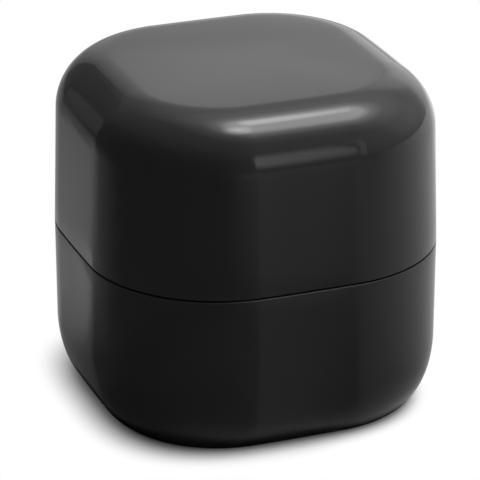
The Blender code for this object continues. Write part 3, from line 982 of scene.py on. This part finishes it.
def stage_piece(name, mesh, material, camera_sees=False):
    """Part of the studio, about the tent's centre."""
    made = bpy.data.meshes.new(name)
    mesh.to_mesh(made)
    mesh.free()
    made.materials.append(material)
    piece = bpy.data.objects.new(name, made)
    piece.location.z = TENT_CENTRE
    piece.visible_camera = camera_sees
    bpy.context.collection.objects.link(piece)
    return piece


def facing(direction, distance):
    """Matrix that sets a flat panel across a direction."""
    return Matrix.LocRotScale(direction * distance, direction.to_track_quat("Z", "Y"), None)


def tent():
    """Cloth all round, that lights the object softly from its bright sides."""
    material, tree = empty_material("studio_tent")
    shown(material, tree, glow(lit_by(tree, TENT_LIGHTS, TENT_SHADE)))
    ball = bmesh.new()
    bmesh.ops.create_uvsphere(ball, u_segments=2 * TENT_STEPS, v_segments=TENT_STEPS,
                              radius=TENT_RADIUS)
    stage_piece("studio_tent", ball, material)


def added_light(material, tree, level):
    """Light on top of what lies behind the panel."""
    return shown(material, tree,
                 Signal.node(tree, "ShaderNodeAddShader", None, {0: clear(tree), 1: glow(level)}))


def softbox():
    """Main lamp, high on the +X side."""
    material, tree = empty_material("studio_softbox")
    added_light(material, tree, lit_by(tree, SOFTBOX_LIGHTS, 0))
    disc = bmesh.new()
    bmesh.ops.create_circle(
        disc, cap_ends=True, segments=2 * TENT_STEPS,
        radius=SOFTBOX_DISTANCE * math.tan(math.radians(SOFTBOX_REACH)),
        matrix=facing(towards(SOFTBOX_BEARING, SOFTBOX_RISE), SOFTBOX_DISTANCE))
    stage_piece("studio_softbox", disc, material)


def panel(name, bearing, rise, half_size, material):
    """Flat rectangular panel that faces the object, its own x and y across it."""
    sheet = bmesh.new()
    bmesh.ops.create_grid(sheet, x_segments=1, y_segments=1, size=1)
    bmesh.ops.scale(sheet, vec=(*half_size, 1), verts=sheet.verts)
    piece = stage_piece(name, sheet, material)
    place = Matrix.Translation((0, 0, TENT_CENTRE))
    piece.matrix_world = place @ facing(towards(bearing, rise), PANEL_DISTANCE)


def border(value, end, width):
    """Smooth step over a width about an end, up for a width over nought, else down."""
    return ramp(value, end - width / 2, end + width / 2)


def between(value, ends, width):
    """One between two ends, with a border of a width on each."""
    return border(value, ends[0], width) * border(value, ends[1], -width)


def strip_light():
    """Small upright lamp beside the camera, a bar and a dim pane."""
    material, tree = empty_material("studio_strip")
    x, y = split(own_place(tree))
    height = abs(y) + LAMP_TAPER * abs(x - LAMP_BROADEST)
    lamp = (border(x, LAMP_ENDS[0], LAMP_TIP) * border(x, LAMP_ENDS[1], -BAR_EDGE)
            * border(height, LAMP_HALF_HEIGHT, -LAMP_BORDER) * (LAMP_LEVEL - LAMP_FADE * x))
    pane = (border(x, PANE_ENDS[0], BAR_EDGE)
            * border(x - PANE_LEAN * y, PANE_ENDS[1], -PANE_EDGE)
            * between(y, (-PANE_HALF_HEIGHT, PANE_HALF_HEIGHT), LAMP_BORDER) * PANE_LEVEL)
    added_light(material, tree, lamp + pane)
    panel("studio_strip", STRIP_BEARING, STRIP_RISE, STRIP_HALF_SIZE, material)


def dark_card():
    """Card behind and to the left, that the gloss shows as a dark field."""
    material, tree = empty_material("studio_card")
    x, y = split(own_place(tree))
    top = CARD_HALF_SIZE[1]
    shown(material, tree, Signal.node(
        tree, "ShaderNodeMixShader", None,
        {0: ramp(y, top - CARD_FADE, top), 1: matt(tree, CARD_COLOUR), 2: clear(tree)}))
    panel("studio_card", CARD_BEARING, CARD_RISE, CARD_HALF_SIZE, material)


def painted_floor_in_gloss(tree):
    """Level of painted light that the floor shows to glossy rays, with painted shade by the foot.

    The floor is squeezed by p R / (R + |p|), so that its far parts stay in reach.
    """
    place = own_place(tree)
    radius = vector_maths("LENGTH", place, (0, 0, 0), "Value")
    share = maths("DIVIDE", FLOOR_SQUEEZE, radius + FLOOR_SQUEEZE)
    squeezed = vector_maths("SCALE", place, share)
    level = FLOOR_SHADE
    for spot, pools in ((squeezed, FLOOR_POOLS), (place, NEAR_POOLS)):
        for x, y, inner, outer, strength in pools.values():
            distance = vector_maths("DISTANCE", spot, (x * MM, y * MM, 0), "Value")
            level = level + strength * ramp(distance, outer * MM, inner * MM)
    # painted bands of light, or of shade below nought, with straight borders
    for x, y, bearing, near, far, fade, strength in FLOOR_EDGES.values():
        spot = vector_maths("SUBTRACT", place, (x * MM, y * MM, 0))
        along, aside = (vector_maths("DOT_PRODUCT", spot, towards(bearing + turn, 0), "Value")
                        for turn in (0, 90))
        level = level + (strength * between(along, (near * MM, far * MM), EDGE_END)
                         * ramp(aside, 0, fade * EDGE_BORDER_SHARE * MM)
                         * ramp(aside, fade * MM, 0))
    return maths("MAXIMUM", level, 0)


def from_foot(x, y, power):
    """Distance from the axis in a square measure, (|x|^n + |y|^n)^(1/n)."""
    x_part, y_part = (maths("POWER", abs(side), power) for side in (x, y))
    return maths("POWER", x_part + y_part, 1 / power)


def floor():
    """Pale floor that keeps the object's real shadow inside a painted outline, turns into a white
    ground past it, and has a painted contact shade by the foot and painted light for the gloss.
    """
    material, tree = empty_material("studio_floor")
    x, y = split(own_place(tree))
    lit_side = maths("MAXIMUM", x, 0)
    footing = from_foot(x, y, CONTACT_POWER) + CONTACT_LEAN * lit_side
    # painted rim of light just past the foot, and a painted dark contact line by it, in the floor as
    # the gloss shows it
    painted_rim_light = RIM_LIGHT_LEVEL * ramp(footing, *RIM_LIGHT_ENDS) * ramp(x, *RIM_LIGHT_SIDE)
    in_gloss = ramp(footing, *CONTACT_SHADE_ENDS) * (painted_floor_in_gloss(tree) + painted_rim_light)
    # for the camera the glow fades out by the foot, a painted contact shade, and past the shadow's
    # ends the floor glows white, a painted outline of the real shadow
    footprint = from_foot(x, y - SHADOW_SHIFT, SHADOW_POWER)
    shaded = footprint + (footprint - SHADOW_REACH) * lit_side * (1 / LIT_SIDE)
    beyond = ramp(shaded, *SHADOW_ENDS)
    direct = seen_by(tree, "Camera", "Transmission")
    mirrored = seen_by(tree, "Glossy")
    ground = glow(direct + mirrored * in_gloss)
    lifted = Signal.node(tree, "ShaderNodeAddShader", None,
                         {0: matt(tree, FLOOR_COLOUR),
                          1: glow(direct * ramp(shaded, *GLOW_ENDS) * FLOOR_GLOW)})
    above = Signal.node(tree, "ShaderNodeMixShader", None,
                        {0: maths("MAXIMUM", mirrored, direct * beyond), 1: lifted, 2: ground})
    from_below = Signal.node(tree, "ShaderNodeNewGeometry", output="Backfacing")
    unseen = maths("MAXIMUM", from_below, ramp(footprint, *FLOOR_HOLE[::-1]))
    shown(material, tree, Signal.node(tree, "ShaderNodeMixShader", None,
                                      {0: unseen, 1: above, 2: clear(tree)}))
    disc = bmesh.new()
    bmesh.ops.create_circle(disc, cap_ends=True, segments=4 * TENT_STEPS, radius=TENT_RADIUS)
    stage_piece("studio_floor", disc, material, camera_sees=True).location.z = -FLOOR_DROP


def surroundings():
    """White for the camera and in glass and metal, no light of its own."""
    world = bpy.data.worlds.new("studio")
    world.use_nodes = True
    tree = world.node_tree
    seen = seen_by(tree, "Camera", "Glossy", "Transmission")
    tree.links.new(seen.socket, tree.nodes["Background"].inputs["Strength"])
    tree.nodes["Background"].inputs["Color"].default_value = (1, 1, 1, 1)
    bpy.context.scene.world = world


def studio():
    """Everything round the object."""
    bpy.context.scene.view_settings.view_transform = "Standard"
    surroundings()
    tent()
    softbox()
    strip_light()
    dark_card()
    floor()


dress_pieces()
photo_camera()
studio()
